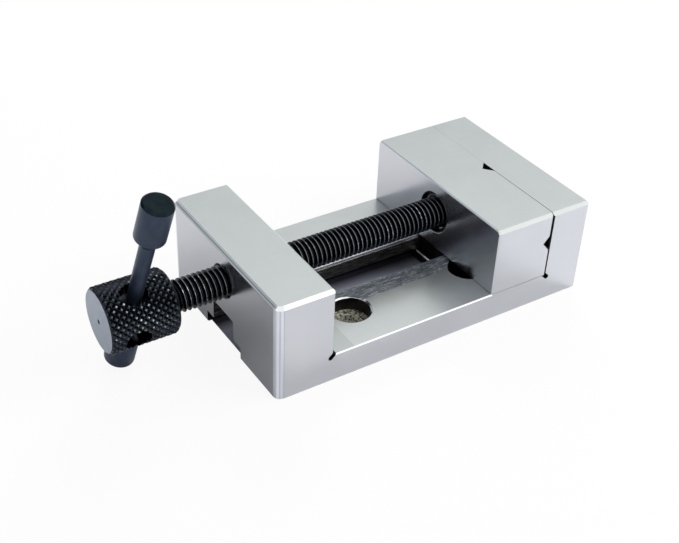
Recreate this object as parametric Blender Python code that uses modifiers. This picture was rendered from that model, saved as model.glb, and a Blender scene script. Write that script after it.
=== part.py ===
"""Small toolmakers vise with its jaws closed.

Metres, +Z up. The origin is on the underside, on the centre line, below the fixed jaw's
gripping face. +X runs from the screw's head towards the fixed jaw. The sliding jaw and its
screw move along -X as the vise opens.
"""

import math

import bmesh
import bpy
from mathutils import Matrix

# Body: one block with an upright for the screw at one end and the fixed jaw at the other
JAW_WIDTH = 0.0500
BODY_HEIGHT = 0.0254
BED_HEIGHT = 0.0075
UPRIGHT_THICKNESS = 0.0144
FIXED_JAW_THICKNESS = 0.0110
TRAVEL_SPACE = 0.0447
EDGE_CHAMFER = 0.0008
FINE_CHAMFER = 0.0003
FRONT_CORNER_RADIUS = 0.0018
FRONT_CORNER_STEPS = 4

# T-shaped slot along the underside, open at the screw's end
SLOT_WIDTH = 0.0098
SLOT_HEIGHT = 0.0087
SLOT_EDGE_CHAMFER = 0.0005
TEE_WIDTH = 0.0164
TEE_HEIGHT = 0.0033
TEE_END_FROM_FACE = 0.0016
STRIP_WIDTH = 0.0222
STRIP_DEPTH = 0.00035
STRIP_INSET = 0.0003
SLOT_END_STEPS = 24

# Undercuts that clear the two corners of the bed
RELIEF_WIDTH = 0.0012
RELIEF_DEPTH = 0.0016
RELIEF_STEPS = 8

# Bolt holes through the bed
BOLT_ROW_FROM_FACE = 0.0144
BOLT_SPACING_X = 0.0345
BOLT_HOLE_WALL = 0.00175
BOLT_HOLE_DIAMETER = 0.0055
COUNTERBORE_DIAMETER = 0.0098
COUNTERBORE_DEPTH = 0.0039
COUNTERBORE_CHAMFER = 0.0004

# Sliding jaw
SLIDING_JAW_THICKNESS = 0.0163
CLOSED_GAP = 0.0002
SLIDE_GAP = 0.0001
SEAT_GAP = 0.0002
VEE_WIDTH = 0.0044
VEE_DEPTH = 0.0019
VEE_HEIGHT = 0.0173
TONGUE_SETBACK = 0.0004

# Plate under the slot's ledges, and the two screws that hold it to the tongue
PLATE_THICKNESS = 0.0027
PLATE_OVERHANG = 0.0009
PLATE_CHAMFER = 0.0003
CLAMP_SCREW_DIAMETER = 0.0030
CLAMP_SCREW_HEAD_DIAMETER = 0.0054
CLAMP_SCREW_HEAD_HEIGHT = 0.0015
CLAMP_SCREW_LENGTH = 0.0080
CLAMP_SCREW_SPACING = 0.0060
CLAMP_SCREW_CLEARANCE = 0.00015
CLAMP_SCREW_SUNK = 0.0001
CLAMP_SOCKET_WIDTH = 0.0020
CLAMP_SOCKET_DEPTH = 0.0010

# Lead screw, with its knurled head turned in one piece
SCREW_HEIGHT = 0.0170
THREAD_DIAMETER = 0.0078
THREAD_PITCH = 0.00125
THREAD_DEPTH = 0.00075
THREAD_CHAMFER = 0.0009
THREAD_CLEARANCE = 0.00015
THREAD_INTO_JAW = 0.0023
HEAD_DIAMETER = 0.0154
HEAD_LENGTH = 0.0161
HEAD_CHAMFER = 0.0006
HEAD_STANDOFF = 0.0136
NECK_DIAMETER = 0.0070
NECK_LENGTH = 0.0014
CENTRE_MARK_DIAMETER = 0.0010
CENTRE_MARK_DEPTH = 0.0005
SCREW_HOLE_CHAMFER = 0.0003
GROOVE_DIAMETER = 0.0046
NOSE_DIAMETER = 0.0060
NOSE_LENGTH = 0.0045
NOSE_CHAMFER = 0.0005
NOSE_CLEARANCE = 0.0002
NOSE_END_GAP = 0.0003

# Ring and split collar that hold the screw's nose in the sliding jaw
POCKET_DIAMETER = 0.0104
COLLAR_THICKNESS = 0.0016
COLLAR_CLEARANCE = 0.00025
COLLAR_SLOT_CLEARANCE = 0.0001
RING_SETBACK = 0.0009
RING_THICKNESS = 0.0009
RING_BORE_DIAMETER = 0.0086
RING_GROOVE_DEPTH = 0.0005
RING_CLEARANCE = 0.0001
RING_OPENING_DEG = 40.0
RING_STEPS = 40

# Tommy bar in one of the head's two crossed holes
BAR_HOLE_FROM_END = 0.0074
BAR_HOLE_STAGGER = 0.0012
BAR_HOLE_DIAMETER = 0.0060
BAR_HOLE_CHAMFER = 0.00015
HEAD_TURN_DEG = 23.5
BAR_TURN_DEG = 17.5
BAR_LEAN_DEG = 6.5
ROD_DIAMETER = 0.0034
ROD_ABOVE_AXIS = 0.0220
ROD_BELOW_AXIS = 0.0074
KNOB_DIAMETER = 0.0070
KNOB_TAPER = 0.0022
KNOB_CHAMFER = 0.0007
UPPER_KNOB_LENGTH = 0.0120
LOWER_KNOB_LENGTH = 0.0094
LOWER_KNOB_CHAMFER = 0.0011
SPIGOT_DIAMETER = 0.0024
SPIGOT_LENGTH = 0.0050
SPIGOT_CLEARANCE = 0.0001
SPIGOT_END_GAP = 0.0003

# Modelling
TURNED_STEPS = 48
SMALL_TURNED_STEPS = 32
THREAD_STEPS = 20
OVERCUT = 0.0010
SMALL_OVERCUT = 0.00025
WELD = 0.000001
FLAT_ANGLE = 0.001
SMOOTH_ANGLE = math.radians(30)

# Stations along X, worked out from the sizes above
JAW_FRONT_X = -CLOSED_GAP
JAW_REAR_X = JAW_FRONT_X - SLIDING_JAW_THICKNESS
UPRIGHT_REAR_X = JAW_REAR_X - TRAVEL_SPACE
UPRIGHT_FRONT_X = UPRIGHT_REAR_X - UPRIGHT_THICKNESS
HEAD_REAR_X = UPRIGHT_FRONT_X - HEAD_STANDOFF
HEAD_END_X = HEAD_REAR_X - HEAD_LENGTH
BAR_X = HEAD_END_X + BAR_HOLE_FROM_END
TEE_CENTRE_X = -TEE_END_FROM_FACE - TEE_WIDTH / 2
STRIP_FLOOR_Z = BED_HEIGHT - STRIP_DEPTH
PLATE_TOP_Z = TEE_HEIGHT - SLIDE_GAP
TONGUE_BOTTOM_Z = PLATE_TOP_Z + SEAT_GAP
TONGUE_REAR_X = JAW_REAR_X + TONGUE_SETBACK
TONGUE_FRONT_X = TEE_CENTRE_X + SLOT_WIDTH / 2 - SEAT_GAP
BOLT_SPACING_Y = TEE_WIDTH + 2 * BOLT_HOLE_WALL + BOLT_HOLE_DIAMETER
THREAD_END = JAW_REAR_X + THREAD_INTO_JAW - HEAD_END_X
POCKET_DEPTH = THREAD_INTO_JAW + COLLAR_THICKNESS + 2 * SEAT_GAP
GROOVE_LENGTH = COLLAR_THICKNESS + 2 * COLLAR_SLOT_CLEARANCE


def clear_scene():
    for obj in list(bpy.data.objects):
        bpy.data.objects.remove(obj)


def new_collection(name):
    collection = bpy.data.collections.new(name)
    bpy.context.scene.collection.children.link(collection)
    return collection


def metal(name, colour, roughness, metallic=1.0):
    material = bpy.data.materials.new(name)
    material.use_nodes = True
    shader = material.node_tree.nodes["Principled BSDF"]
    shader.inputs["Base Color"].default_value = (*colour, 1.0)
    shader.inputs["Roughness"].default_value = roughness
    shader.inputs["Metallic"].default_value = metallic
    return material


def add_object(name, mesh, collection, material=None):
    obj = bpy.data.objects.new(name, mesh)
    collection.objects.link(obj)
    if material:
        mesh.materials.append(material)
        mesh.shade_smooth()
        mesh.set_sharp_from_angle(angle=SMOOTH_ANGLE)
    return obj


def box_mesh(name, low, high):
    """A box between two corners."""
    size = [b - a for a, b in zip(low, high)]
    middle = [(a + b) / 2 for a, b in zip(low, high)]
    shape = bmesh.new()
    bmesh.ops.create_cube(shape, size=1.0)
    bmesh.ops.scale(shape, vec=size, verts=shape.verts)
    bmesh.ops.translate(shape, vec=middle, verts=shape.verts)
    mesh = bpy.data.meshes.new(name)
    shape.to_mesh(mesh)
    shape.free()
    return mesh


def outline_mesh(name, outline, low, high, across="Z"):
    """A flat outline pulled from low to high along Z, or along Y with the outline in XZ."""
    curve = bpy.data.curves.new(name, "CURVE")
    curve.dimensions = "2D"
    curve.fill_mode = "BOTH"
    curve.extrude = (high - low) / 2
    spline = curve.splines.new("POLY")
    spline.points.add(len(outline) - 1)
    for point, (u, v) in zip(spline.points, outline):
        point.co = (u, v, 0.0, 1.0)
    spline.use_cyclic_u = True
    guide = bpy.data.objects.new(name, curve)
    bpy.context.scene.collection.objects.link(guide)
    evaluated = guide.evaluated_get(bpy.context.evaluated_depsgraph_get())
    mesh = bpy.data.meshes.new_from_object(evaluated)
    bpy.data.objects.remove(guide)
    shape = bmesh.new()
    shape.from_mesh(mesh)
    bmesh.ops.remove_doubles(shape, verts=shape.verts, dist=WELD)
    bmesh.ops.dissolve_limit(shape, angle_limit=FLAT_ANGLE, verts=shape.verts, edges=shape.edges)
    if across == "Y":
        bmesh.ops.rotate(shape, matrix=Matrix.Rotation(math.radians(90), 3, "X"), verts=shape.verts)
        bmesh.ops.translate(shape, vec=(0.0, (low + high) / 2, 0.0), verts=shape.verts)
    else:
        bmesh.ops.translate(shape, vec=(0.0, 0.0, (low + high) / 2), verts=shape.verts)
    bmesh.ops.recalc_face_normals(shape, faces=shape.faces)
    if shape.calc_volume(signed=True) < 0:
        bmesh.ops.reverse_faces(shape, faces=shape.faces)
    shape.to_mesh(mesh)
    shape.free()
    return mesh


def stacked_mesh(name, levels):
    """Closes a shape round outlines with equal numbers of points, each at its own height."""
    count = len(levels[0][0])
    points = [(x, y, z) for outline, z in levels for x, y in outline]
    last = len(points) - count
    faces = [tuple(reversed(range(count))), tuple(range(last, len(points)))]
    for first in range(0, last, count):
        for i in range(count):
            j = (i + 1) % count
            faces.append((first + i, first + j, first + count + j, first + count + i))
    mesh = bpy.data.meshes.new(name)
    mesh.from_pydata(points, [], faces)
    return mesh


def arc(centre, radius, start_deg, end_deg, steps):
    """Points along an arc, both ends included."""
    angles = [math.radians(start_deg + (end_deg - start_deg) * i / steps) for i in range(steps + 1)]
    return [(centre[0] + radius * math.cos(a), centre[1] + radius * math.sin(a)) for a in angles]


def slot_outline(start_x, centre_x, width):
    """Straight sides from start_x, and a round end about centre_x towards +X."""
    half = width / 2
    return [(start_x, -half)] + arc((centre_x, 0.0), half, -90, 90, SLOT_END_STEPS) + [(start_x, half)]


def turned(name, profile, collection, steps, material=None):
    """A profile of (radius, height) pairs turned about Z: it runs from the top end to the bottom."""
    mesh = bpy.data.meshes.new(name)
    mesh.from_pydata(
        [(radius, 0.0, height) for radius, height in profile],
        [(i, i + 1) for i in range(len(profile) - 1)],
        [],
    )
    obj = add_object(name, mesh, collection)
    screw = obj.modifiers.new("turn", "SCREW")
    screw.axis = "Z"
    screw.steps = steps
    screw.render_steps = steps
    screw.use_merge_vertices = True
    screw.merge_threshold = WELD
    screw.use_smooth_shade = True
    if material:
        mesh.materials.append(material)
    return obj


def make_cutter(obj):
    obj.hide_render = True
    obj.display_type = "WIRE"
    return obj


def cut(target, cutter, operation="DIFFERENCE"):
    boolean = target.modifiers.new(cutter.name, "BOOLEAN")
    boolean.operation = operation
    boolean.solver = "EXACT"
    boolean.object = cutter


def bevel_edges(mesh, chosen, width, steps=1):
    """Chamfers or rounds the edges for which chosen(first corner, second corner) is true."""
    shape = bmesh.new()
    shape.from_mesh(mesh)
    picked = [edge for edge in shape.edges if chosen(*[vert.co for vert in edge.verts])]
    bmesh.ops.bevel(
        shape,
        geom=picked,
        offset=width,
        offset_type="OFFSET",
        segments=steps,
        profile=0.5,
        affect="EDGES",
        clamp_overlap=True,
    )
    shape.to_mesh(mesh)
    shape.free()


def near(a, b):
    return abs(a - b) < WELD


def at_height(a, b, height):
    return near(a.z, height) and near(b.z, height)


def on_side(a, b):
    """Whether both ends lie on one long side of the vise."""
    return near(abs(a.y), JAW_WIDTH / 2) and near(a.y, b.y)


def body_mesh():
    """The side view of the block, as wide as the jaws, with its outer edges broken."""
    outline = [
        (UPRIGHT_FRONT_X, 0.0),
        (FIXED_JAW_THICKNESS, 0.0),
        (FIXED_JAW_THICKNESS, BODY_HEIGHT),
        (0.0, BODY_HEIGHT),
        (0.0, BED_HEIGHT),
        (UPRIGHT_REAR_X, BED_HEIGHT),
        (UPRIGHT_REAR_X, BODY_HEIGHT),
        (UPRIGHT_FRONT_X, BODY_HEIGHT),
    ]
    mesh = outline_mesh("body", outline, -JAW_WIDTH / 2, JAW_WIDTH / 2, across="Y")

    def front_corner(a, b):
        return near(a.x, UPRIGHT_FRONT_X) and near(b.x, UPRIGHT_FRONT_X) and on_side(a, b)

    def broad_edge(a, b):
        if at_height(a, b, BODY_HEIGHT):
            rear = near(a.x, UPRIGHT_REAR_X) and near(b.x, UPRIGHT_REAR_X)
            return on_side(a, b) or (max(a.x, b.x) < UPRIGHT_REAR_X + WELD and not rear)
        return at_height(a, b, BED_HEIGHT) and on_side(a, b)

    def fine_edge(a, b):
        if at_height(a, b, BODY_HEIGHT):
            across = near(a.x, b.x) and not near(a.y, b.y)
            return across and not near(a.x, 0.0) and a.x > UPRIGHT_REAR_X - WELD
        foot = at_height(a, b, 0.0)
        at_end = near(a.x, FIXED_JAW_THICKNESS) and near(b.x, FIXED_JAW_THICKNESS)
        return foot or (at_end and on_side(a, b))

    bevel_edges(mesh, front_corner, FRONT_CORNER_RADIUS, FRONT_CORNER_STEPS)
    bevel_edges(mesh, broad_edge, EDGE_CHAMFER)
    bevel_edges(mesh, fine_edge, FINE_CHAMFER)
    return mesh


def bolt_cutter(name, x, y, cutters):
    """Counterbore with a broken rim, and the clear hole below it."""
    wide = COUNTERBORE_DIAMETER / 2
    floor = BED_HEIGHT - COUNTERBORE_DEPTH
    rim = BED_HEIGHT - COUNTERBORE_CHAMFER
    flare = wide + COUNTERBORE_CHAMFER + SMALL_OVERCUT
    profile = [
        (0.0, BED_HEIGHT + SMALL_OVERCUT),
        (flare, BED_HEIGHT + SMALL_OVERCUT),
        (wide, rim),
        (wide, floor),
        (BOLT_HOLE_DIAMETER / 2, floor),
        (BOLT_HOLE_DIAMETER / 2, -OVERCUT),
        (0.0, -OVERCUT),
    ]
    cutter = make_cutter(turned(name, profile, cutters, SMALL_TURNED_STEPS))
    cutter.location = (x, y, 0.0)
    return cutter


def relief_cutter(name, corner_x, towards, cutters):
    """Slot with round ends, cut at 45 degrees into one foot of the bed's opening."""
    half = RELIEF_WIDTH / 2
    end = arc((RELIEF_DEPTH - half, 0.0), half, -90, 90, RELIEF_STEPS)
    start = arc((-half, 0.0), half, 90, 270, RELIEF_STEPS)
    slope = math.radians(-45 if towards > 0 else -135)
    cosine, sine = math.cos(slope), math.sin(slope)
    outline = [
        (corner_x + u * cosine - v * sine, BED_HEIGHT + u * sine + v * cosine)
        for u, v in end + start
    ]
    reach = JAW_WIDTH / 2 + OVERCUT
    mesh = outline_mesh(name, outline, -reach, reach, across="Y")
    return make_cutter(add_object(name, mesh, cutters))


def screw_hole_cutter(cutters):
    """The upright's threaded hole at the thread's outer size, with both mouths broken."""
    radius = THREAD_DIAMETER / 2 + THREAD_CLEARANCE
    flare = radius + SCREW_HOLE_CHAMFER + SMALL_OVERCUT
    half = UPRIGHT_THICKNESS / 2
    profile = [
        (0.0, half + SMALL_OVERCUT),
        (flare, half + SMALL_OVERCUT),
        (radius, half - SCREW_HOLE_CHAMFER),
        (radius, -half + SCREW_HOLE_CHAMFER),
        (flare, -half - SMALL_OVERCUT),
        (0.0, -half - SMALL_OVERCUT),
    ]
    cutter = make_cutter(turned("screw_hole_cutter", profile, cutters, TURNED_STEPS))
    cutter.rotation_euler = (0.0, math.radians(90), 0.0)
    cutter.location = ((UPRIGHT_FRONT_X + UPRIGHT_REAR_X) / 2, 0.0, SCREW_HEIGHT)
    return cutter


def slot_cutters(cutters):
    """The tongue's slot: its channel under the upright, and its length in the bed, whose upper
    edges are broken."""
    half = SLOT_WIDTH / 2
    channel_low = (UPRIGHT_FRONT_X - OVERCUT, -half, -OVERCUT)
    channel_high = (UPRIGHT_REAR_X + 2 * STRIP_INSET, half, SLOT_HEIGHT)
    channel = box_mesh("channel_cutter", channel_low, channel_high)
    start = UPRIGHT_REAR_X + STRIP_INSET
    flare = SLOT_WIDTH + 2 * SLOT_EDGE_CHAMFER + 2 * SMALL_OVERCUT
    narrow = slot_outline(start, TEE_CENTRE_X, SLOT_WIDTH)
    wide = slot_outline(start, TEE_CENTRE_X, flare)
    levels = [
        (narrow, -OVERCUT),
        (narrow, STRIP_FLOOR_Z - SLOT_EDGE_CHAMFER),
        (wide, STRIP_FLOOR_Z + SMALL_OVERCUT),
    ]
    slot = stacked_mesh("slot_cutter", levels)
    return [make_cutter(add_object(mesh.name, mesh, cutters)) for mesh in (channel, slot)]


def build_body(parts, cutters, material):
    body = add_object("body", body_mesh(), parts, material)
    tee_outline = slot_outline(UPRIGHT_FRONT_X - OVERCUT, TEE_CENTRE_X, TEE_WIDTH)
    tee = outline_mesh("tee_cutter", tee_outline, -OVERCUT, TEE_HEIGHT)
    cut(body, make_cutter(add_object("tee_cutter", tee, cutters)))
    strip_low = (UPRIGHT_REAR_X + STRIP_INSET, -STRIP_WIDTH / 2, STRIP_FLOOR_Z)
    strip_high = (-STRIP_INSET, STRIP_WIDTH / 2, BED_HEIGHT + OVERCUT)
    strip = box_mesh("strip_cutter", strip_low, strip_high)
    cut(body, make_cutter(add_object("strip_cutter", strip, cutters)))
    for cutter in slot_cutters(cutters):
        cut(body, cutter)
    cut(body, relief_cutter("upright_relief_cutter", UPRIGHT_REAR_X, -1, cutters))
    cut(body, relief_cutter("jaw_relief_cutter", 0.0, 1, cutters))
    for row in range(2):
        for side in (-1, 1):
            x = -BOLT_ROW_FROM_FACE - row * BOLT_SPACING_X
            name = f"bolt_cutter_{row + 1}_{'near' if side < 0 else 'far'}"
            cut(body, bolt_cutter(name, x, side * BOLT_SPACING_Y / 2, cutters))
    cut(body, screw_hole_cutter(cutters))
    return body


def jaw_block_mesh():
    low = (JAW_REAR_X, -JAW_WIDTH / 2, BED_HEIGHT + SLIDE_GAP)
    high = (JAW_FRONT_X, JAW_WIDTH / 2, BODY_HEIGHT)
    mesh = box_mesh("sliding_jaw", low, high)

    def top_side(a, b):
        return at_height(a, b, BODY_HEIGHT) and on_side(a, b)

    def rear_edge(a, b):
        return near(a.x, JAW_REAR_X) and near(b.x, JAW_REAR_X) and not at_height(a, b, low[2])

    bevel_edges(mesh, top_side, EDGE_CHAMFER)
    bevel_edges(mesh, rear_edge, FINE_CHAMFER)
    return mesh


def vee_cutters(cutters):
    """Crossed V grooves in the gripping face, one level and one upright, for round work."""
    half = VEE_WIDTH / 2
    over = VEE_WIDTH * OVERCUT / (2 * VEE_DEPTH)
    mouth_x = JAW_FRONT_X + OVERCUT
    tip_x = JAW_FRONT_X - VEE_DEPTH
    level = [
        (tip_x, VEE_HEIGHT),
        (mouth_x, VEE_HEIGHT - half - over),
        (mouth_x, VEE_HEIGHT + half + over),
    ]
    upright = [(tip_x, 0.0), (mouth_x, -half - over), (mouth_x, half + over)]
    reach = JAW_WIDTH / 2 + OVERCUT
    meshes = (
        outline_mesh("level_vee_cutter", level, -reach, reach, across="Y"),
        outline_mesh("upright_vee_cutter", upright, BED_HEIGHT - OVERCUT / 2, BODY_HEIGHT + OVERCUT),
    )
    return [make_cutter(add_object(mesh.name, mesh, cutters)) for mesh in meshes]


def pocket_cutter(cutters):
    """Pocket for the screw's nose: ring groove, collar space and a bearing bore behind it."""
    mouth = POCKET_DIAMETER / 2
    groove = mouth + RING_GROOVE_DEPTH
    bore = NOSE_DIAMETER / 2 + NOSE_CLEARANCE
    ring_end = RING_SETBACK + RING_THICKNESS + 2 * RING_CLEARANCE
    nose_end = THREAD_INTO_JAW + GROOVE_LENGTH + NOSE_LENGTH + NOSE_END_GAP
    profile = [
        (0.0, nose_end),
        (bore, nose_end),
        (bore, POCKET_DEPTH),
        (mouth, POCKET_DEPTH),
        (mouth, ring_end),
        (groove, ring_end),
        (groove, RING_SETBACK),
        (mouth, RING_SETBACK),
        (mouth, FINE_CHAMFER),
        (mouth + FINE_CHAMFER + SMALL_OVERCUT, -SMALL_OVERCUT),
        (0.0, -SMALL_OVERCUT),
    ]
    cutter = make_cutter(turned("pocket_cutter", profile, cutters, TURNED_STEPS))
    cutter.rotation_euler = (0.0, math.radians(90), 0.0)
    cutter.location = (JAW_REAR_X, 0.0, SCREW_HEIGHT)
    return cutter


def clamp_screw_stations():
    """The two clamp screws' X, either side of the tongue's middle."""
    middle = (TONGUE_REAR_X + TONGUE_FRONT_X) / 2
    return [middle - CLAMP_SCREW_SPACING / 2, middle + CLAMP_SCREW_SPACING / 2]


def clamp_screw_profile(extra):
    """Countersunk screw, head down, with every face moved out by extra."""
    base = PLATE_TOP_Z - PLATE_THICKNESS + CLAMP_SCREW_SUNK
    head = CLAMP_SCREW_HEAD_DIAMETER / 2 + extra
    shank = CLAMP_SCREW_DIAMETER / 2 + extra
    neck = base + CLAMP_SCREW_HEAD_HEIGHT + extra
    tip = base + CLAMP_SCREW_LENGTH + extra
    bottom = base - (OVERCUT if extra else 0.0)
    rim = [(head, base), (head, bottom)] if extra else [(head, base)]
    return [(0.0, tip), (shank, tip), (shank, neck)] + rim + [(0.0, bottom)]


def build_sliding_jaw(parts, cutters, material):
    jaw = add_object("sliding_jaw", jaw_block_mesh(), parts, material)
    width = SLOT_WIDTH - 2 * SLIDE_GAP
    outline = slot_outline(TONGUE_REAR_X, TONGUE_FRONT_X - width / 2, width)
    tongue = outline_mesh("tongue_shape", outline, TONGUE_BOTTOM_Z, BED_HEIGHT + OVERCUT)
    cut(jaw, make_cutter(add_object("tongue_shape", tongue, cutters)), "UNION")
    for cutter in vee_cutters(cutters):
        cut(jaw, cutter)
    cut(jaw, pocket_cutter(cutters))
    for number, x in enumerate(clamp_screw_stations(), start=1):
        name = f"clamp_hole_cutter_{number}"
        profile = clamp_screw_profile(CLAMP_SCREW_CLEARANCE)
        cutter = make_cutter(turned(name, profile, cutters, SMALL_TURNED_STEPS))
        cutter.location.x = x
        cut(jaw, cutter)
    return jaw


def build_clamp_plate(parts, material):
    """Plate that runs under the slot's ledges, with the slot's own round end."""
    width = TEE_WIDTH - 2 * SLIDE_GAP
    rear = JAW_REAR_X - PLATE_OVERHANG
    outline = slot_outline(rear, TEE_CENTRE_X - SEAT_GAP, width)
    bottom = PLATE_TOP_Z - PLATE_THICKNESS
    mesh = outline_mesh("clamp_plate", outline, bottom, PLATE_TOP_Z)

    def rim(a, b):
        return at_height(a, b, bottom) or at_height(a, b, PLATE_TOP_Z)

    bevel_edges(mesh, rim, PLATE_CHAMFER)
    plate = add_object("clamp_plate", mesh, parts, material)
    for number in range(len(clamp_screw_stations())):
        cut(plate, bpy.data.objects[f"clamp_hole_cutter_{number + 1}"])
    return plate


def build_clamp_screws(parts, cutters, material):
    screws = []
    for number, x in enumerate(clamp_screw_stations(), start=1):
        profile = clamp_screw_profile(0.0)
        screw = turned(f"clamp_screw_{number}", profile, parts, SMALL_TURNED_STEPS, material)
        screw.location.x = x
        base = profile[-1][1]
        radius = CLAMP_SOCKET_WIDTH / math.sqrt(3)
        outline = arc((0.0, 0.0), radius, 0, 300, 5)
        name = f"clamp_socket_cutter_{number}"
        socket = outline_mesh(name, outline, base - OVERCUT, base + CLAMP_SOCKET_DEPTH)
        cutter = make_cutter(add_object(name, socket, cutters))
        cutter.location.x = x
        cut(screw, cutter)
        screws.append(screw)
    return screws


def lead_screw_profile():
    """The screw without its thread, from the nose down to the head's end face; zero is that face."""
    head = HEAD_DIAMETER / 2
    groove_end = THREAD_END + GROOVE_LENGTH
    tip = groove_end + NOSE_LENGTH
    neck_end = HEAD_LENGTH + NECK_LENGTH
    return [
        (0.0, tip),
        (NOSE_DIAMETER / 2 - NOSE_CHAMFER, tip),
        (NOSE_DIAMETER / 2, tip - NOSE_CHAMFER),
        (NOSE_DIAMETER / 2, groove_end),
        (GROOVE_DIAMETER / 2, groove_end),
        (GROOVE_DIAMETER / 2, neck_end),
        (NECK_DIAMETER / 2, neck_end),
        (NECK_DIAMETER / 2, HEAD_LENGTH),
        (head - HEAD_CHAMFER, HEAD_LENGTH),
        (head, HEAD_LENGTH - HEAD_CHAMFER),
        (head, HEAD_CHAMFER),
        (head - HEAD_CHAMFER, 0.0),
        (CENTRE_MARK_DIAMETER / 2, 0.0),
        (0.0, CENTRE_MARK_DEPTH),
    ]


def helix_mesh(name, start, turns):
    """A right-hand thread's ridge round a solid core, closed by a rough cap at each end."""
    crest = THREAD_DIAMETER / 2
    root = crest - THREAD_DEPTH
    ridge = [(root, start), (crest, start + THREAD_PITCH / 2), (root, start + THREAD_PITCH)]
    guide_mesh = bpy.data.meshes.new(name)
    guide_mesh.from_pydata([(radius, 0.0, z) for radius, z in ridge], [(0, 1), (1, 2)], [])
    guide = add_object(name, guide_mesh, bpy.context.scene.collection)
    sweep = guide.modifiers.new("sweep", "SCREW")
    sweep.axis = "Z"
    sweep.steps = THREAD_STEPS
    sweep.render_steps = THREAD_STEPS
    sweep.screw_offset = THREAD_PITCH
    sweep.iterations = turns
    evaluated = guide.evaluated_get(bpy.context.evaluated_depsgraph_get())
    mesh = bpy.data.meshes.new_from_object(evaluated)
    bpy.data.objects.remove(guide)
    shape = bmesh.new()
    shape.from_mesh(mesh)
    bmesh.ops.remove_doubles(shape, verts=shape.verts, dist=WELD)
    bmesh.ops.holes_fill(shape, edges=[edge for edge in shape.edges if edge.is_boundary], sides=0)
    bmesh.ops.recalc_face_normals(shape, faces=shape.faces)
    if shape.calc_volume(signed=True) < 0:
        bmesh.ops.reverse_faces(shape, faces=shape.faces)
    shape.to_mesh(mesh)
    shape.free()
    return mesh


def thread_shape(cutters):
    """The thread, cut square and chamfered at both ends; it starts inside the neck."""
    outside = THREAD_DIAMETER / 2 + SMALL_OVERCUT
    small = THREAD_DIAMETER / 2 - THREAD_CHAMFER
    run_in = NECK_DIAMETER / 2 - small - SMALL_OVERCUT / 2
    start = HEAD_LENGTH + NECK_LENGTH - run_in
    rise = outside - small
    profile = [
        (0.0, THREAD_END),
        (small, THREAD_END),
        (outside, THREAD_END - rise),
        (outside, start + rise),
        (small, start),
        (0.0, start),
    ]
    envelope = make_cutter(turned("thread_envelope", profile, cutters, TURNED_STEPS))
    spare = 2 * THREAD_PITCH
    turns = math.ceil((THREAD_END - start + 2 * spare) / THREAD_PITCH)
    thread = add_object("thread_shape", helix_mesh("thread_shape", start - spare, turns), cutters)
    cut(thread, envelope, "INTERSECT")
    return make_cutter(thread), envelope


def bar_hole_cutter(name, turn, shift, cutters, pivot):
    """A hole straight across the head, with both mouths broken."""
    radius = BAR_HOLE_DIAMETER / 2
    mouth = HEAD_DIAMETER / 2
    flare = radius + BAR_HOLE_CHAMFER + OVERCUT
    profile = [
        (0.0, mouth + OVERCUT),
        (flare, mouth + OVERCUT),
        (radius, mouth - BAR_HOLE_CHAMFER),
        (radius, -mouth + BAR_HOLE_CHAMFER),
        (flare, -mouth - OVERCUT),
        (0.0, -mouth - OVERCUT),
    ]
    cutter = make_cutter(turned(name, profile, cutters, SMALL_TURNED_STEPS))
    cutter.parent = pivot
    cutter.location.x = shift
    cutter.rotation_euler = (turn, 0.0, 0.0)
    return cutter


def build_lead_screw(parts, cutters, material, pivot):
    screw = turned("lead_screw", lead_screw_profile(), parts, TURNED_STEPS, material)
    thread, envelope = thread_shape(cutters)
    for obj in (screw, thread, envelope):
        obj.parent = pivot
        obj.location.x = HEAD_END_X - BAR_X
        obj.rotation_euler = (0.0, math.radians(90), 0.0)
    cut(screw, thread, "UNION")
    for number in range(2):
        turn = number * math.pi / 2
        shift = -number * BAR_HOLE_STAGGER
        cut(screw, bar_hole_cutter(f"bar_hole_cutter_{number + 1}", turn, shift, cutters, pivot))
    return screw


def build_thrust_collar(parts, material):
    """Slotted washer that slips sideways over the nose's groove."""
    radius = POCKET_DIAMETER / 2 - COLLAR_CLEARANCE
    half = GROOVE_DIAMETER / 2 + COLLAR_SLOT_CLEARANCE
    side = math.degrees(math.asin(half / radius))
    outside = arc((0.0, 0.0), radius, side, 360 - side, RING_STEPS)
    inside = arc((0.0, 0.0), half, 270, 90, RING_STEPS // 2)
    low = THREAD_INTO_JAW + COLLAR_SLOT_CLEARANCE
    mesh = outline_mesh("thrust_collar", outside + inside, low, low + COLLAR_THICKNESS)
    collar = add_object("thrust_collar", mesh, parts, material)
    collar.rotation_euler = (0.0, math.radians(90), 0.0)
    collar.location = (JAW_REAR_X, 0.0, SCREW_HEIGHT)
    return collar


def build_retaining_ring(parts, material):
    """Open snap ring, sprung into the groove near the pocket's mouth."""
    outer = POCKET_DIAMETER / 2 + RING_GROOVE_DEPTH - RING_CLEARANCE
    half = RING_OPENING_DEG / 2
    outside = arc((0.0, 0.0), outer, half, 360 - half, RING_STEPS)
    inside = arc((0.0, 0.0), RING_BORE_DIAMETER / 2, 360 - half, half, RING_STEPS)
    low = RING_SETBACK + RING_CLEARANCE
    mesh = outline_mesh("retaining_ring", outside + inside, low, low + RING_THICKNESS)
    ring = add_object("retaining_ring", mesh, parts, material)
    ring.rotation_euler = (0.0, math.radians(90), 0.0)
    ring.location = (JAW_REAR_X, 0.0, SCREW_HEIGHT)
    return ring


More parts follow.
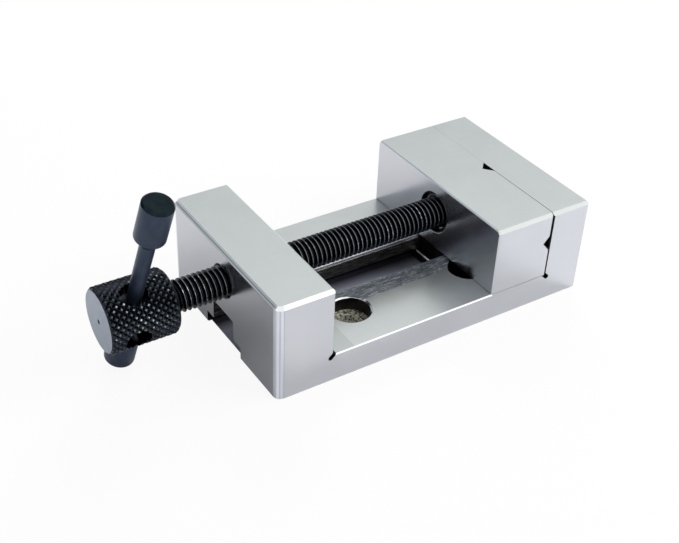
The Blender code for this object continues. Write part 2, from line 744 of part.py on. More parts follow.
def build_tommy_bar(parts, material, pivot):
    """Rod and upper knob in one turned piece, with a spigot for the lower knob."""
    rod = ROD_DIAMETER / 2
    knob = KNOB_DIAMETER / 2
    top = ROD_ABOVE_AXIS + UPPER_KNOB_LENGTH
    spigot = SPIGOT_DIAMETER / 2
    profile = [
        (0.0, top - CENTRE_MARK_DEPTH),
        (CENTRE_MARK_DIAMETER / 2, top),
        (knob - KNOB_CHAMFER, top),
        (knob, top - KNOB_CHAMFER),
        (knob, ROD_ABOVE_AXIS + KNOB_TAPER),
        (rod, ROD_ABOVE_AXIS),
        (rod, -ROD_BELOW_AXIS),
        (spigot, -ROD_BELOW_AXIS),
        (spigot, -ROD_BELOW_AXIS - SPIGOT_LENGTH),
        (0.0, -ROD_BELOW_AXIS - SPIGOT_LENGTH),
    ]
    bar = turned("tommy_bar", profile, parts, SMALL_TURNED_STEPS, material)
    bar.parent = pivot
    return bar


def build_bar_end(parts, material, pivot):
    """Lower knob, screwed onto the rod's spigot once the rod is through the head."""
    knob = KNOB_DIAMETER / 2
    top = -ROD_BELOW_AXIS - SEAT_GAP
    bottom = top - LOWER_KNOB_LENGTH
    hole = SPIGOT_DIAMETER / 2 + SPIGOT_CLEARANCE
    hole_end = -ROD_BELOW_AXIS - SPIGOT_LENGTH - SPIGOT_END_GAP
    profile = [
        (0.0, hole_end),
        (hole, hole_end),
        (hole, top),
        (ROD_DIAMETER / 2, top),
        (knob, top - KNOB_TAPER),
        (knob, bottom + LOWER_KNOB_CHAMFER),
        (knob - LOWER_KNOB_CHAMFER, bottom),
        (0.0, bottom),
    ]
    end = turned("tommy_bar_end", profile, parts, SMALL_TURNED_STEPS, material)
    end.parent = pivot
    return end


def new_pivot(name, collection, location, rotation, parent=None):
    pivot = bpy.data.objects.new(name, None)
    collection.objects.link(pivot)
    pivot.parent = parent
    pivot.location = location
    pivot.rotation_mode = "ZYX"
    pivot.rotation_euler = rotation
    return pivot


def build_vise():
    clear_scene()
    parts = new_collection("toolmakers_vise")
    cutters = new_collection("cutters")
    ground_steel = metal("ground_steel", (0.62, 0.64, 0.66), 0.28)
    plain_steel = metal("plain_steel", (0.45, 0.46, 0.47), 0.40)
    black_steel = metal("black_steel", (0.030, 0.032, 0.038), 0.38, metallic=0.6)
    blued_steel = metal("blued_steel", (0.050, 0.058, 0.080), 0.36, metallic=0.5)
    spring_steel = metal("spring_steel", (0.30, 0.30, 0.32), 0.35)

    build_body(parts, cutters, ground_steel)
    build_sliding_jaw(parts, cutters, ground_steel)
    build_clamp_plate(parts, plain_steel)
    build_clamp_screws(parts, cutters, black_steel)
    head_turn = (math.radians(HEAD_TURN_DEG), 0.0, 0.0)
    screw_pivot = new_pivot("screw_axis", parts, (BAR_X, 0.0, SCREW_HEIGHT), head_turn)
    bar_tilt = (math.radians(BAR_TURN_DEG - HEAD_TURN_DEG), math.radians(BAR_LEAN_DEG), 0.0)
    bar_pivot = new_pivot("bar_axis", parts, (0.0, 0.0, 0.0), bar_tilt, screw_pivot)
    build_lead_screw(parts, cutters, black_steel, screw_pivot)
    build_thrust_collar(parts, plain_steel)
    build_retaining_ring(parts, spring_steel)
    build_tommy_bar(parts, blued_steel, bar_pivot)
    build_bar_end(parts, blued_steel, bar_pivot)


build_vise()
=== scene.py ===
"""Toolmakers vise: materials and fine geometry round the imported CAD, with studio and camera."""

import math

import bmesh
import bpy
import numpy as np
from mathutils import Matrix, Vector


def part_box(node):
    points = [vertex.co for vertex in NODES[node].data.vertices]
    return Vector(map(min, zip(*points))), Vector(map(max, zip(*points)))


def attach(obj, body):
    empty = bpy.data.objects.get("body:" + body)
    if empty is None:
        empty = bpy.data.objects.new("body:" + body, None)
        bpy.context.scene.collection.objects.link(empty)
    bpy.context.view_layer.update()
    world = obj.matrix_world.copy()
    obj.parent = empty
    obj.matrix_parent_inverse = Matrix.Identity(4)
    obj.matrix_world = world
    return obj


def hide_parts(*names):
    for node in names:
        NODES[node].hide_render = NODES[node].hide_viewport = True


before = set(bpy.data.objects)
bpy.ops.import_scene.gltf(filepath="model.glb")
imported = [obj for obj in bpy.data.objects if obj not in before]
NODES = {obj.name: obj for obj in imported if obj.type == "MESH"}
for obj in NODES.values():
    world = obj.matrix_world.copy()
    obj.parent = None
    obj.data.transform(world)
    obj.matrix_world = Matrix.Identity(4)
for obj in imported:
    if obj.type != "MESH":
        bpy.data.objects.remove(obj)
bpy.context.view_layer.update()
MM = 0.001


def in_mm(length):
    """A length of the frame in millimetres, to a whole micrometre."""
    return round(length / MM, 3)


# Body, in millimetres. The fixed jaw's gripping face lies at X = 0
HALF_WIDTH = in_mm(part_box("body")[1].y)
UPRIGHT_FRONT_X = in_mm(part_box("body")[0].x)
UPRIGHT_THICKNESS = 14.4
UPRIGHT_REAR_X = UPRIGHT_FRONT_X + UPRIGHT_THICKNESS
JAW_REAR_X = in_mm(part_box("sliding_jaw")[0].x)
BED_HEIGHT = 7.5
STRIP_FLOOR_Z = 7.15
SLOT_HALF_WIDTH = 4.9
SLOT_HEIGHT = 8.7
SLOT_EDGE_CHAMFER = 0.5
TEE_HALF_WIDTH = 8.2
TEE_HEIGHT = 3.3
BOLT_ROWS_X = (-14.4, -48.9)
BOLT_Y = 12.7
BOLT_HOLE_RADIUS = 2.75
COUNTERBORE_RADIUS = 4.9
COUNTERBORE_FLOOR_Z = 3.6

# Lead screw, along X
AXIS_Z = 17.0
HEAD_END_X = in_mm(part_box("lead_screw")[0].x)
HEAD_LENGTH = 16.1
HEAD_RADIUS = 7.7
HEAD_CHAMFER = 0.62
HEAD_TURN = math.radians(23.5)
NECK_RADIUS = 3.5
NECK_LENGTH = 1.4
THREAD_RADIUS = 3.9
THREAD_CORE = 3.13
THREAD_PITCH = 1.25
THREAD_END_X = -14.2
GROOVE_RADIUS = 2.3
GROOVE_LENGTH = 1.8
NOSE_RADIUS = 3.0
NOSE_CHAMFER = 0.5
OVERLAP = 1.0

# Holes across the head, the first one round the tommy bar
BAR_X = -97.9
BAR_HOLE_RADIUS = 3.0
BAR_HOLE_FLARE = 0.15
BAR_HOLE_STAGGER = 1.2

# Tommy bar, measured up and down from where it crosses the screw's axis
BAR_TURN = math.radians(17.5)
BAR_LEAN = math.radians(6.5)
ROD_RADIUS = 1.7
ROD_ABOVE = 22.0
ROD_BELOW = 7.4
KNOB_RADIUS = 3.5
KNOB_TAPER = 2.2
UPPER_KNOB_TOP = 33.88
UPPER_KNOB_CHAMFER = 0.40
LOWER_KNOB_LENGTH = 9.4
LOWER_KNOB_CHAMFER = 1.1
SPIGOT_RADIUS = 1.2
SPIGOT_LENGTH = 5.0
SPIGOT_CLEARANCE = 0.1
SPIGOT_END_GAP = 0.3
SEAT_GAP = 0.2


# Meshes

WELD = 1e-7
ON_AXIS = 1e-6
ARC_STEPS = 4
FINE_STEPS, COARSE_STEPS, SMALL_STEPS = 96, 64, 32
NEARLY_STRAIGHT = math.radians(176)


def new_object(name, points, faces, scale=MM):
    mesh = bpy.data.meshes.new(name)
    mesh.from_pydata([tuple(c * scale for c in p) for p in points], [], faces)
    obj = bpy.data.objects.new(name, mesh)
    bpy.context.scene.collection.objects.link(obj)
    return obj


def rounded(corners):
    """Profile of (along, radius, fillet) corners with each fillet drawn as a short arc."""
    points = []
    for i, (a, r, fillet) in enumerate(corners):
        here = Vector((a, r))
        if not fillet or i in (0, len(corners) - 1):
            points.append(tuple(here))
            continue
        before = (Vector(corners[i - 1][:2]) - here).normalized()
        after = (Vector(corners[i + 1][:2]) - here).normalized()
        angle = before.angle(after)
        if angle > NEARLY_STRAIGHT:
            points.append(tuple(here))
            continue
        reach = fillet / math.tan(angle / 2)
        start, end = here + before * reach, here + after * reach
        centre = here + (before + after).normalized() * (fillet / math.sin(angle / 2))
        for k in range(ARC_STEPS + 1):
            way = start.lerp(end, k / ARC_STEPS) - centre
            points.append(tuple(centre + way.normalized() * fillet))
    return points


def lathe(name, profile, steps, to_world):
    """A closed turned piece: profile runs along the axis and starts and ends on it."""
    points, faces, rings = [], [], []
    for along, radius in profile:
        if radius < ON_AXIS:
            rings.append([len(points)])
            points.append((along, 0.0, 0.0))
            continue
        rings.append(list(range(len(points), len(points) + steps)))
        for j in range(steps):
            turn = 2 * math.pi * j / steps
            points.append((along, -radius * math.sin(turn), radius * math.cos(turn)))
    for first, second in zip(rings, rings[1:]):
        for j in range(steps):
            k = (j + 1) % steps
            face = [first[j % len(first)]]
            for corner in (first[k % len(first)], second[k % len(second)], second[j % len(second)]):
                if corner not in face:
                    face.append(corner)
            if len(face) > 2:
                faces.append(tuple(reversed(face)))
    return clean(new_object(name, [to_world @ Vector(p) for p in points], faces))


def clean(obj, weld=WELD):
    """Welds doubled points, drops loose ones, caps open rims and turns all faces outward."""
    shape = bmesh.new()
    shape.from_mesh(obj.data)
    bmesh.ops.remove_doubles(shape, verts=shape.verts, dist=weld)
    loose = [v for v in shape.verts if not v.link_faces]
    bmesh.ops.delete(shape, geom=loose, context="VERTS")
    rim = [e for e in shape.edges if e.is_boundary]
    bmesh.ops.holes_fill(shape, edges=rim, sides=0)
    bmesh.ops.recalc_face_normals(shape, faces=shape.faces)
    if shape.calc_volume(signed=True) < 0:
        bmesh.ops.reverse_faces(shape, faces=shape.faces)
    shape.to_mesh(obj.data)
    shape.free()
    return obj


def shade(obj, degrees=30):
    """Smooth shading, apart from edges that turn by more than so many degrees."""
    obj.data.shade_smooth()
    obj.data.set_sharp_from_angle(angle=math.radians(degrees))


def turned(name, corners, steps, to_world):
    """A turned piece with its corners rounded and its surface shaded smooth."""
    obj = lathe(name, rounded(corners), steps, to_world)
    shade(obj)
    return obj


def cut(obj, cutters):
    """Cuts obj with each cutter, bakes the result into its mesh and removes the cutters."""
    for cutter in cutters:
        step = obj.modifiers.new(cutter.name, "BOOLEAN")
        step.operation = "DIFFERENCE"
        step.solver = "EXACT"
        step.object = cutter
    bpy.context.view_layer.update()
    graph = bpy.context.evaluated_depsgraph_get()
    mesh = bpy.data.meshes.new_from_object(obj.evaluated_get(graph))
    obj.modifiers.clear()
    obj.data = mesh
    for cutter in cutters:
        bpy.data.objects.remove(cutter)


def screw_frame():
    """Local X along the screw's axis, with the model's own zero, turned as the head lies."""
    return Matrix.Translation((0, 0, AXIS_Z)) @ Matrix.Rotation(HEAD_TURN, 4, "X")


def bar_frame():
    """Local X up along the tommy bar, zero where it crosses the screw's axis."""
    lean = Matrix.Rotation(BAR_LEAN, 4, "Y")
    upright = Matrix.Rotation(-math.pi / 2, 4, "Y")
    place = Matrix.Translation((BAR_X, 0, AXIS_Z)) @ Matrix.Rotation(BAR_TURN, 4, "X")
    return place @ lean @ upright


# Lead screw

# Half a pitch of the rolled thread: share of the pitch from the crest's middle, share of depth
THREAD_PROFILE = (
    (0.0, 1.0),
    (0.045, 0.995),
    (0.078, 0.955),
    (0.115, 0.86),
    (0.345, 0.13),
    (0.385, 0.04),
    (0.44, 0.0),
    (0.5, 0.0),
)
FLANK_MARKS = (0.19, 0.27)
THREAD_STEPS = 80
THREAD_EASE = 0.15
THREAD_WELD = 2e-7


def thread_marks():
    """Places within one pitch that get a row of points."""
    half = sorted([place for place, _ in THREAD_PROFILE] + list(FLANK_MARKS))
    return half + [1 - mark for mark in reversed(half[1:-1])]


def thread_radius(place):
    """Radius of the rolled thread at each place within one pitch, 0 being the crest's middle."""
    places, heights = zip(*THREAD_PROFILE)
    place = np.abs((place + 0.5) % 1.0 - 0.5)
    return THREAD_CORE + (THREAD_RADIUS - THREAD_CORE) * np.interp(place, places, heights)


def thread(name, start, end):
    """Helical thread from start to end with both ends faced flat and their crests eased."""
    turns = range(-2, int((end - start) / THREAD_PITCH) + 2)
    rows = [start + (turn + mark) * THREAD_PITCH for turn in turns for mark in thread_marks()]
    sweep = np.linspace(0, 1, THREAD_STEPS + 1)[None, :]
    along = np.clip(np.array(rows)[:, None] + sweep * THREAD_PITCH, start, end)
    radius = thread_radius((along - start) / THREAD_PITCH - sweep)
    ease = np.minimum(along - start, end - along) + THREAD_CORE - THREAD_EASE
    radius = np.minimum(radius, ease)
    turn = 2 * math.pi * sweep + np.zeros_like(along)
    points = np.stack([along, -radius * np.sin(turn), radius * np.cos(turn)], -1)
    count = THREAD_STEPS + 1
    faces = []
    for i in range(len(rows) - 1):
        if along[i + 1].max() <= start or along[i].min() >= end:
            continue
        for a in range(i * count, i * count + THREAD_STEPS):
            faces.append((a, a + 1, a + count + 1, a + count))
    place = screw_frame()
    obj = new_object(name, [place @ Vector(p) for p in points.reshape(-1, 3)], faces)
    return clean(obj, THREAD_WELD)


# Diamond knurl: how many diamonds fit round the head, the length of one, the grooves' depth,
# the share of a diamond that stays flat on top, the grid's steps in half a diamond, and how
# far the grid's rows keep from the head's ends
KNURL_AROUND = 27
KNURL_PITCH = 1.70
KNURL_DEPTH = 0.46
KNURL_FLAT = 0.30
KNURL_FINE = 4
KNURL_END_GAP = 0.05


def knurl_radius(along, i, level):
    """The knurl's radius at a grid point: two families of V grooves, and the end chamfers."""
    u, v = (i + level) / (2 * KNURL_FINE), (i - level) / (2 * KNURL_FINE)
    wall = max(1 - 2 * abs(t % 1 - 0.5) for t in (u + 0.5, v + 0.5))
    groove = max(0.0, (wall - KNURL_FLAT) / (1 - KNURL_FLAT))
    ends = HEAD_RADIUS - HEAD_CHAMFER + min(along, HEAD_LENGTH - along)
    return min(HEAD_RADIUS - KNURL_DEPTH * groove, ends)


def nearer_to_u(i, level):
    """Whether the groove next to the middle of a grid cell is one of the first family."""
    u = ((2 * i + 1 + 2 * level + 1) / (4 * KNURL_FINE)) % 1
    v = ((2 * i + 1 - 2 * level - 1) / (4 * KNURL_FINE)) % 1
    return min(u, 1 - u) < min(v, 1 - v)


def knurled_head(name):
    """Head with real diamond knurling: grid lines follow the grooves, so each edge is crisp."""
    around = KNURL_AROUND * 2 * KNURL_FINE
    step = KNURL_PITCH / (2 * KNURL_FINE)
    count = int(HEAD_LENGTH / step) + 1
    first = (HEAD_LENGTH - (count - 1) * step) / 2
    levels = [
        k for k in range(count) if KNURL_END_GAP < first + k * step < HEAD_LENGTH - KNURL_END_GAP
    ]
    points, faces = [], []

    def ring(along, radii):
        for i, r in enumerate(radii):
            turn = 2 * math.pi * i / around
            points.append((along, -r * math.sin(turn), r * math.cos(turn)))

    end_radii = [HEAD_RADIUS - HEAD_CHAMFER] * around
    ring(0.0, end_radii)
    for level in levels:
        along = first + level * step
        ring(along, [knurl_radius(along, i, level) for i in range(around)])
    ring(HEAD_LENGTH, end_radii)
    for k in range(len(levels) + 1):
        for i in range(around):
            j = (i + 1) % around
            a, b = k * around + i, k * around + j
            c, d = (k + 1) * around + j, (k + 1) * around + i
            if k in (0, len(levels)):
                faces.append((a, b, c, d))
            elif nearer_to_u(i, levels[k - 1]):
                faces += [(a, b, d), (b, c, d)]
            else:
                faces += [(a, b, c), (a, c, d)]
    place = screw_frame() @ Matrix.Translation((HEAD_END_X, 0, 0))
    return clean(new_object(name, [place @ Vector(p) for p in points], faces))


def cross_hole(name, turn, shift):
    """Cutter for a hole straight across the head, with both mouths lightly broken."""
    radius, flare = BAR_HOLE_RADIUS, BAR_HOLE_FLARE
    reach = HEAD_RADIUS + OVERLAP
    wide = radius + flare + OVERLAP
    profile = [
        (-reach, 0.0),
        (-reach, wide),
        (-HEAD_RADIUS + flare, radius),
        (HEAD_RADIUS - flare, radius),
        (reach, wide),
        (reach, 0.0),
    ]
    place = screw_frame() @ Matrix.Translation((BAR_X + shift, 0, 0))
    place = place @ Matrix.Rotation(turn, 4, "X") @ Matrix.Rotation(-math.pi / 2, 4, "Y")
    return lathe(name, profile, COARSE_STEPS, place)


def centre_mark(name):
    """Cutter for the small centre drilled into the head's end."""
    radius, depth = 0.6, 0.5
    profile = [
        (-OVERLAP, 0.0),
        (-OVERLAP, radius),
        (0.0, radius),
        (0.35, 0.25),
        (depth, 0.0),
    ]
    place = screw_frame() @ Matrix.Translation((HEAD_END_X, 0, 0))
    return lathe(name, profile, SMALL_STEPS, place)


def screw_head():
    head = knurled_head("lead_screw_head")
    holes = [
        cross_hole("cross_hole_1", 0.0, 0.0),
        cross_hole("cross_hole_2", math.pi / 2, -BAR_HOLE_STAGGER),
    ]
    cut(head, [centre_mark("centre_mark"), *holes])
    shade(head, 20)
    return head


def screw_neck(start, end):
    """Plain neck behind the head, which runs out into the thread in a short cone."""
    run_out, drop = 0.25, 0.35
    corners = [
        (start - OVERLAP, 0.0, 0),
        (start - OVERLAP, NECK_RADIUS, 0),
        (start, NECK_RADIUS, 0),
        (end, NECK_RADIUS, 0.15),
        (end + run_out, NECK_RADIUS - drop, 0),
        (end + run_out, 0.0, 0),
    ]
    return turned("lead_screw_neck", corners, FINE_STEPS, screw_frame())


def screw_nose():
    """Grooved nose that the thrust collar and the ring hold in the jaw's pocket."""
    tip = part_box("lead_screw")[1].x / MM
    shoulder = THREAD_END_X + GROOVE_LENGTH
    corners = [
        (THREAD_END_X - OVERLAP, 0.0, 0),
        (THREAD_END_X - OVERLAP, GROOVE_RADIUS, 0),
        (shoulder, GROOVE_RADIUS, 0),
        (shoulder, NOSE_RADIUS, 0.1),
        (tip - NOSE_CHAMFER, NOSE_RADIUS, 0.15),
        (tip, NOSE_RADIUS - NOSE_CHAMFER, 0.1),
        (tip, 0.0, 0),
    ]
    return turned("lead_screw_nose", corners, COARSE_STEPS, screw_frame())


def lead_screw():
    neck_start = HEAD_END_X + HEAD_LENGTH
    neck_end = neck_start + NECK_LENGTH
    head = screw_head()
    neck = screw_neck(neck_start, neck_end)
    shank = thread("lead_screw_thread", neck_end, THREAD_END_X)
    shade(shank, 50)
    return [head, neck, shank, screw_nose()]


# Tommy bar


def bar_rod():
    """Rod with its upper knob, a centre mark on top and the spigot for the lower knob."""
    top, chamfer = UPPER_KNOB_TOP, UPPER_KNOB_CHAMFER
    mark_depth, mark_radius = 0.45, 0.5
    corners = [
        (top - mark_depth, 0.0, 0),
        (top, mark_radius, 0.05),
        (top, KNOB_RADIUS - chamfer, 0.08),
        (top - chamfer, KNOB_RADIUS, 0.12),
        (ROD_ABOVE + KNOB_TAPER, KNOB_RADIUS, 0.45),
        (ROD_ABOVE, ROD_RADIUS + 0.05, 0.4),
        (-ROD_BELOW, ROD_RADIUS, 0),
        (-ROD_BELOW, SPIGOT_RADIUS, 0),
        (-ROD_BELOW - SPIGOT_LENGTH, SPIGOT_RADIUS, 0),
        (-ROD_BELOW - SPIGOT_LENGTH, 0.0, 0),
    ]
    return turned("tommy_bar_rod", corners, FINE_STEPS, bar_frame())


def bar_end():
    """Lower knob with a blind bore for the spigot."""
    top = -ROD_BELOW - SEAT_GAP
    bottom = top - LOWER_KNOB_LENGTH
    bore = SPIGOT_RADIUS + SPIGOT_CLEARANCE
    bore_end = -ROD_BELOW - SPIGOT_LENGTH - SPIGOT_END_GAP
    corners = [
        (bore_end, 0.0, 0),
        (bore_end, bore, 0),
        (top, bore, 0),
        (top, ROD_RADIUS, 0.05),
        (top - KNOB_TAPER, KNOB_RADIUS, 0.45),
        (bottom + LOWER_KNOB_CHAMFER, KNOB_RADIUS, 0.35),
        (bottom, KNOB_RADIUS - LOWER_KNOB_CHAMFER, 0.35),
        (bottom, 0.0, 0),
    ]
    return turned("tommy_bar_lower_knob", corners, FINE_STEPS, bar_frame())


# Refined copies of CAD nodes

SHARP = math.radians(28)
COPLANAR = math.radians(0.6)
CRISP_DEGREES = 13
FLAT_AREA = 12 * MM * MM
BED_CHAMFER_END = JAW_REAR_X + 0.1
RIM_RADIUS = 5.2
RIM_BOTTOM_Z = 6.85
GRIP_FROM_X, GRIP_TO_X = -0.25, 0.12
GRIP_BOTTOM_Z, GRIP_TOP_Z = 8.0, 25.0
TOP_EDGE_NEAR_X, TOP_EDGE_FAR_X = -0.14, -0.03
TOP_EDGE_STEP_Y = 2.0


def chamfer(shape, edges, offset, segments=1):
    bmesh.ops.bevel(
        shape,
        geom=edges,
        offset=offset * MM,
        offset_type="OFFSET",
        segments=segments,
        profile=0.5,
        affect="EDGES",
        clamp_overlap=True,
    )


def near(value, aim, margin=0.01):
    return abs(value - aim) < margin


def on_line(edge, test):
    """Whether both ends of an edge pass a test on their place in millimetres."""
    return all(test(*(c / MM for c in vert.co)) for vert in edge.verts)


def bed_side_edge(x, y, z):
    in_length = UPRIGHT_REAR_X + 0.2 < x < BED_CHAMFER_END + 0.01
    return in_length and near(z, BED_HEIGHT) and near(abs(y), HALF_WIDTH)


def inner_side_edge(x, y, z):
    return near(x, UPRIGHT_REAR_X, 0.02) and near(abs(y), HALF_WIDTH) and z > BED_HEIGHT - 0.1


def slot_top_edge(x, y, z):
    in_length = UPRIGHT_REAR_X + 0.2 < x < -0.2
    on_edge = near(abs(y), SLOT_HALF_WIDTH + SLOT_EDGE_CHAMFER)
    return in_length and on_edge and near(z, STRIP_FLOOR_Z)


def grip_side_edge(x, y, z):
    in_height = GRIP_BOTTOM_Z < z < GRIP_TOP_Z
    return in_height and GRIP_FROM_X < x < GRIP_TO_X and near(abs(y), HALF_WIDTH)


def grip_top_edge(x, y, z):
    return GRIP_FROM_X < x < GRIP_TO_X and z > GRIP_TOP_Z


# Broken edges that the CAD leaves square, each with its width
BODY_CHAMFERS = (
    (bed_side_edge, 0.28),
    (grip_side_edge, 0.3),
    (inner_side_edge, 0.22),
    (slot_top_edge, 0.25),
)
JAW_CHAMFERS = ((grip_side_edge, 0.3),)


def to_bolt(x, y):
    """Which way and how far a place lies from the nearest counterbored hole's centre."""
    away = (Vector((x - row, abs(y) - BOLT_Y)) for row in BOLT_ROWS_X)
    return min(away, key=lambda vector: vector.length)


def open_counterbores(shape):
    """Widens the tiny chamfer where the counterbores cut the milled strips."""
    for vert in shape.verts:
        x, y, z = (c / MM for c in vert.co)
        away = to_bolt(x, y)
        on_wall = 4.85 < away.length < 4.97 and abs(y) < TEE_HALF_WIDTH + 0.1
        if not on_wall or not STRIP_FLOOR_Z - 0.1 < z < STRIP_FLOOR_Z + 0.05:
            continue
        if z < STRIP_FLOOR_Z - 0.03:
            vert.co.z = RIM_BOTTOM_Z * MM
            continue
        moved = away.normalized() * RIM_RADIUS - away
        vert.co.x += moved.x * MM
        vert.co.y += math.copysign(moved.y, moved.y * y) * MM


def split_at_jaw(shape):
    """Splits the faces just behind the jaw's rear face, where the bed's broken edges end."""
    everything = shape.verts[:] + shape.edges[:] + shape.faces[:]
    plane = (BED_CHAMFER_END * MM, 0, 0)
    bmesh.ops.bisect_plane(shape, geom=everything, plane_co=plane, plane_no=(1, 0, 0))


def refined(node, name, width, prepare=(), chamfers=(), plain=None):
    """A CAD node's shape with its triangles joined, edges lightly broken and flats kept flat."""
    shape = bmesh.new()
    shape.from_mesh(NODES[node].data)
    bmesh.ops.remove_doubles(shape, verts=shape.verts, dist=WELD)
    bmesh.ops.dissolve_limit(shape, angle_limit=COPLANAR, verts=shape.verts, edges=shape.edges)
    for change in prepare:
        change(shape)
    for test, offset in chamfers:
        chamfer(shape, [e for e in shape.edges if on_line(e, test)], offset)
    sharp = [e for e in shape.edges if e.is_manifold and e.calc_face_angle(0) > SHARP]
    chamfer(shape, [e for e in sharp if not (plain and on_line(e, plain))], width, 2)
    mesh = bpy.data.meshes.new(name)
    shape.to_mesh(mesh)
    shape.free()
    obj = bpy.data.objects.new(name, mesh)
    bpy.context.scene.collection.objects.link(obj)
    shade(obj, CRISP_DEGREES)
    for face in mesh.polygons:
        face.use_smooth = face.area < FLAT_AREA
    return obj


# Materials


class Shading:
    """Short ways to add nodes to a node tree."""

    def __init__(self, tree):
        self.tree = tree

    def join(self, socket, value):
        """Links a value to a socket, or sets it where it is a plain one."""
        if isinstance(value, bpy.types.NodeSocket):
            self.tree.links.new(value, socket)
        else:
            socket.default_value = value

    def add(self, kind, inputs=None, **settings):
        node = self.tree.nodes.new("ShaderNode" + kind)
        for key, value in settings.items():
            setattr(node, key, value)
        for key, value in (inputs or {}).items():
            self.join(node.inputs[key], value)
        return node

    def spread(self, value, low, high, start=0.3, end=0.7):
        """Maps values from start to end onto low to high."""
        ends = {"From Min": start, "From Max": end, "To Min": low, "To Max": high}
        return self.add("MapRange", {"Value": value, **ends}).outputs["Result"]

    def math(self, operation, a, b=0.0):
        return self.add("Math", {0: a, 1: b}, operation=operation).outputs["Value"]

    def along(self, vector, direction):
        """How far a vector points in a direction."""
        ends = {0: vector, 1: direction}
        return self.add("VectorMath", ends, operation="DOT_PRODUCT").outputs["Value"]

    def mix(self, factor, a, b, kind="RGBA", **settings):
        node = self.add("Mix", data_type=kind, **settings)
        sockets = [s for s in node.inputs if s.enabled]
        for socket, value in zip(sockets, (factor, a, b)):
            self.join(socket, value)
        return [s for s in node.outputs if s.enabled][0]

    def blend(self, factor, a, b):
        return self.mix(factor, a, b, "FLOAT")


class Look(Shading):
    """A material with a Principled shader."""

    def __init__(self, name, **settings):
        self.material = bpy.data.materials.new(name)
        self.material.use_nodes = True
        super().__init__(self.material.node_tree)
        self.shader = self.tree.nodes["Principled BSDF"]
        for key, value in settings.items():
            self.shader.inputs[key.replace("_", " ")].default_value = value

    def place(self, scale=(1, 1, 1)):
        coordinates = self.add("TexCoord")
        mapping = self.add("Mapping", {"Vector": coordinates.outputs["Object"], "Scale": scale})
        return mapping.outputs["Vector"]

    def noise(self, vector, scale=1.0, detail=3.0, roughness=0.55):
        kind = {"Scale": scale, "Detail": detail, "Roughness": roughness}
        return self.add("TexNoise", {"Vector": vector, **kind}).outputs["Fac"]

    def ramp(self, value, stops):
        node = self.add("ValToRGB", {"Fac": value})
        ramp = node.color_ramp
        while len(ramp.elements) < len(stops):
            ramp.elements.new(0.5)
        for element, (position, colour) in zip(ramp.elements, stops):
            element.position = position
            element.color = (*colour, 1.0)
        return node.outputs["Color"]

    def sum_of_products(self, first, second):
        return self.math("ADD", self.math("MULTIPLY", *first), self.math("MULTIPLY", *second))

    def feed(self, key, value):
        self.join(self.shader.inputs[key], value)

    def bump(self, height, distance, strength):
        """Fine relief, with its greatest height in metres."""
        node = self.add("Bump", {"Height": height, "Distance": distance, "Strength": strength})
        self.feed("Normal", node.outputs["Normal"])

    def surface(self, cloud, tones, rough, bump):
        """Colour, roughness and fine bumps that all follow one noise."""
        self.feed("Base Color", self.ramp(cloud, tones))
        self.feed("Roughness", self.spread(cloud, *rough))
        self.bump(cloud, *bump)
        return self.material


def facing(look):
    """How far the surface faces along X, Y and Z, as three values from 0 to 1."""
    geometry = look.add("NewGeometry")
    parts = look.add("SeparateXYZ", {"Vector": geometry.outputs["Normal"]})
    return [look.math("ABSOLUTE", parts.outputs[axis]) for axis in "XYZ"]


# Ground steel's tone: light and dull, each for standing and for level faces; the level faces'
# greener, lighter tone is painted reflection
STANDING_LIGHT, LEVEL_LIGHT = (0.640, 0.655, 0.700, 1), (0.660, 0.705, 0.695, 1)
STANDING_DULL, LEVEL_DULL = (0.615, 0.630, 0.675, 1), (0.630, 0.675, 0.665, 1)
UNGROUND = (0.40, 0.43, 0.42, 1)
WHEEL_END_X = (-55.45, -55.30)
# The side chamfers' darker tone is painted shade
SIDE_CHAMFER_SHADE = (0.60, 0.63, 0.62, 1)

# Bright and dark lines on the upright's front corners, painted highlight and shade, by X plus the
# distance from the centre
CORNER_FROM, CORNER_TO = -52.5, -48.7
CORNER_HIGHLIGHT_SHADE_BANDS = [
    (0.00, (0.45, 0.45, 0.50)),
    (0.05, (1.25, 1.25, 1.28)),
    (0.26, (1.20, 1.20, 1.23)),
    (0.31, (0.70, 0.70, 0.76)),
    (0.36, (1.40, 1.40, 1.40)),
    (0.58, (1.35, 1.35, 1.37)),
    (0.64, (0.78, 0.78, 0.84)),
    (0.70, (1.25, 1.25, 1.28)),
    (0.90, (1.20, 1.20, 1.22)),
    (0.95, (0.70, 0.70, 0.74)),
    (1.00, (1.00, 1.00, 1.00)),
]

# The same painted highlight and shade lines along the upright's front chamfer, by height
TOP_FROM, TOP_TO = 24.55, 25.40
TOP_HIGHLIGHT_SHADE_BANDS = [
    (0.00, (0.60, 0.60, 0.66)),
    (0.10, (1.40, 1.40, 1.40)),
    (0.38, (1.35, 1.35, 1.35)),
    (0.46, (0.55, 0.56, 0.58)),
    (0.56, (0.60, 0.61, 0.62)),
    (0.64, (1.40, 1.40, 1.40)),
    (1.00, (1.45, 1.45, 1.45)),
]


def ground_tone(look, cloud, across_x, across_z):
    """Soft cloudiness with a trace of grinding lines along each face."""
    long_lines = look.noise(look.place((40, 1500, 1500)), detail=4)
    end_lines = look.noise(look.place((1500, 40, 1500)), detail=4)
    lines = look.blend(across_x, long_lines, end_lines)
    # The level faces' greener, lighter tone: painted reflection
    light = look.mix(across_z, STANDING_LIGHT, LEVEL_LIGHT)
    dull = look.mix(across_z, STANDING_DULL, LEVEL_DULL)
    tone = look.sum_of_products((lines, 0.15), (cloud, 0.85))
    return look.mix(look.spread(tone, 0, 1, 0.38, 0.62), dull, light)


def duller_by_upright(look, colour, place, level):
    """The bed next to the upright, where the grinding wheel did not reach."""
    low = look.math("LESS_THAN", place["Z"], (BED_HEIGHT + 0.5) * MM)
    wheel = look.spread(place["X"], 1.0, 0.0, *(x * MM for x in WHEEL_END_X))
    unground = look.math("MULTIPLY", look.math("MULTIPLY", wheel, low), level)
    return look.mix(look.math("MULTIPLY", unground, 0.35), colour, UNGROUND)


